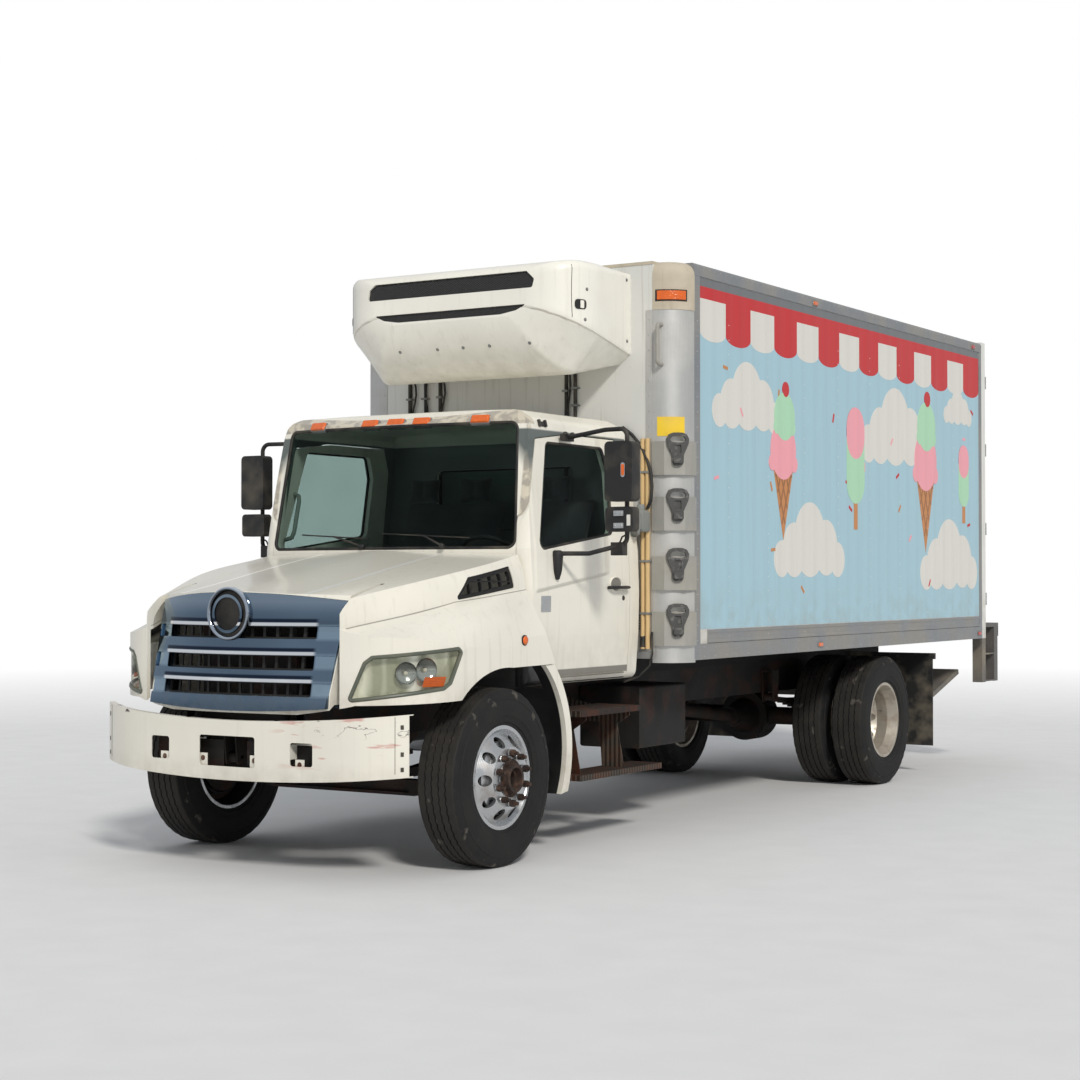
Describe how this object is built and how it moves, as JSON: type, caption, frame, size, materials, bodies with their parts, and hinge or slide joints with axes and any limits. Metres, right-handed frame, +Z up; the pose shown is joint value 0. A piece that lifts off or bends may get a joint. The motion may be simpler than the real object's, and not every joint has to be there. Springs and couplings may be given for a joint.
{
  "type": "refrigerated box truck",
  "caption": "Conventional truck with a tilting hood, hollow cab with doors, steered front wheels, dual rear wheels and a refrigerated box body with rear doors.",
  "frame": {"origin": "on the ground under the middle of the overall length, on the centre line", "axes": "+X to the driver's (left) side, -Y towards the front bumper, +Z up"},
  "size_m": [3.03, 9.18, 3.732],
  "materials": {
    "frame_paint": "black chassis paint, dusty",
    "bumper_paint": "cream white paint, scraped",
    "axle_iron": "black paint over rust",
    "spring_steel": "dark rusty steel",
    "engine_iron": "oily grey iron",
    "tank_metal": "black paint",
    "black_plastic": "matt black, faded",
    "exhaust_steel": "rusty",
    "flap_rubber": "matt",
    "cab_paint": "cream white paint",
    "glass": "tinted",
    "interior_plastic": "grained dark grey",
    "seat_cloth": "woven dark grey",
    "step_steel": "black paint gone to rust",
    "chrome": "polished",
    "lamp_lens": "hazy clear",
    "floor_wood": "dull",
    "box_white": "white, riveted",
    "box_panel": "pale blue",
    "box_roof": "dull white",
    "box_aluminium": "dull extruded",
    "post_aluminium": "bright",
    "cap_paint": "aged beige",
    "rear_paint": "white",
    "rear_door_paint": "white",
    "unit_plastic": "white shell",
    "pipe_rubber": "matt",
    "step_cast": "grey cast",
    "amber_lens": "amber",
    "lift_steel": "rusty black",
    "platform_metal": "worn",
    "tyre": "dusty black",
    "rim_aluminium": "polished",
    "rim_steel": "cream silver"
  },
  "bodies": {
    "chassis": {"frame": "frame_paint", "front_bumper": "bumper_paint", "front_axle": "axle_iron", "leaf_springs": "spring_steel", "rear_axle": "axle_iron", "driveshaft": "axle_iron", "engine": "engine_iron", "fuel_tank": "tank_metal", "battery_box": "black_plastic", "exhaust": "exhaust_steel", "mud_flaps": "flap_rubber", "cab_shell": "cab_paint", "cab_glass": "glass", "dashboard": "interior_plastic", "seats": "seat_cloth", "fender_guards": "cab_paint", "cab_steps": "step_steel", "box_floor": "floor_wood", "box_front_wall": "box_white", "box_sides": "box_panel", "box_roof": "box_roof", "box_rails": "box_aluminium", "corner_posts": "post_aluminium", "corner_caps": "cap_paint", "rear_frame": "rear_paint", "refrigeration_unit": "unit_plastic", "unit_grilles": "black_plastic", "unit_pipes": "pipe_rubber", "access_steps": "step_cast", "marker_lamps": "amber_lens", "liftgate": "lift_steel", "lift_platform": "platform_metal"},
    "hood": {"hood": "cab_paint", "grille": "chrome", "headlamps": "lamp_lens", "black_grilles": "black_plastic"},
    "door_left": {"door_left": "cab_paint", "door_glass_left": "glass", "mirror_left": "black_plastic"},
    "door_right": {"door_right": "cab_paint", "door_glass_right": "glass", "mirror_right": "black_plastic"},
    "steering_wheel": {"steering_wheel": "interior_plastic"},
    "rear_door_left": {"rear_door_left": "rear_door_paint"},
    "rear_door_right": {"rear_door_right": "rear_door_paint"},
    "knuckle_left": {"knuckle_left": "axle_iron"},
    "knuckle_right": {"knuckle_right": "axle_iron"},
    "wheel_front_left": {"tyre_front_left": "tyre", "rim_front_left": "rim_aluminium"},
    "wheel_front_right": {"tyre_front_right": "tyre", "rim_front_right": "rim_aluminium"},
    "wheel_rear_left": {"tyres_rear_left": "tyre", "rims_rear_left": "rim_steel"},
    "wheel_rear_right": {"tyres_rear_right": "tyre", "rims_rear_right": "rim_steel"}
  },
  "joints": [
    {"name": "hood_tilt", "type": "hinge", "parent": "chassis", "child": "hood", "pos_m": [0, -4.516, 0.8], "axis": [1, 0, 0], "range_deg": [0, 60]},
    {"name": "door_left_swing", "type": "hinge", "parent": "chassis", "child": "door_left", "pos_m": [1.016, -3.065, 1.4], "axis": [0, 0, -1], "range_deg": [0, 65]},
    {"name": "door_right_swing", "type": "hinge", "parent": "chassis", "child": "door_right", "pos_m": [-1.016, -3.065, 1.4], "axis": [0, 0, 1], "range_deg": [0, 65]},
    {"name": "steer_left", "type": "hinge", "parent": "chassis", "child": "knuckle_left", "pos_m": [0.868, -3.506, 0.512], "axis": [0, 0, 1], "range_deg": [-35, 35]},
    {"name": "steer_right", "type": "hinge", "parent": "chassis", "child": "knuckle_right", "pos_m": [-0.868, -3.506, 0.512], "axis": [0, 0, 1], "range_deg": [-35, 35]},
    {"name": "steering_wheel_turn", "type": "hinge", "parent": "chassis", "child": "steering_wheel", "pos_m": [0.48, -2.581, 1.768], "axis": [0, 0.6157, 0.788], "range_deg": [-560, 560]},
    {"name": "wheel_front_left_spin", "type": "hinge", "parent": "knuckle_left", "child": "wheel_front_left", "pos_m": [1.01, -3.506, 0.512], "axis": [1, 0, 0], "continuous": true},
    {"name": "wheel_front_right_spin", "type": "hinge", "parent": "knuckle_right", "child": "wheel_front_right", "pos_m": [-1.01, -3.506, 0.512], "axis": [1, 0, 0], "continuous": true},
    {"name": "wheel_rear_left_spin", "type": "hinge", "parent": "chassis", "child": "wheel_rear_left", "pos_m": [0.91, 2.006, 0.512], "axis": [1, 0, 0], "continuous": true},
    {"name": "wheel_rear_right_spin", "type": "hinge", "parent": "chassis", "child": "wheel_rear_right", "pos_m": [-0.91, 2.006, 0.512], "axis": [1, 0, 0], "continuous": true},
    {"name": "rear_door_left_swing", "type": "hinge", "parent": "chassis", "child": "rear_door_left", "pos_m": [1.287, 4.12, 2.4], "axis": [0, 0, -1], "range_deg": [0, 240]},
    {"name": "rear_door_right_swing", "type": "hinge", "parent": "chassis", "child": "rear_door_right", "pos_m": [-1.287, 4.12, 2.4], "axis": [0, 0, 1], "range_deg": [0, 240]}
  ],
  "couplings": [
    {"joint": "steer_right", "follows": "steer_left", "ratio": 1},
    {"joint": "steering_wheel_turn", "follows": "steer_left", "ratio": 16}
  ]
}
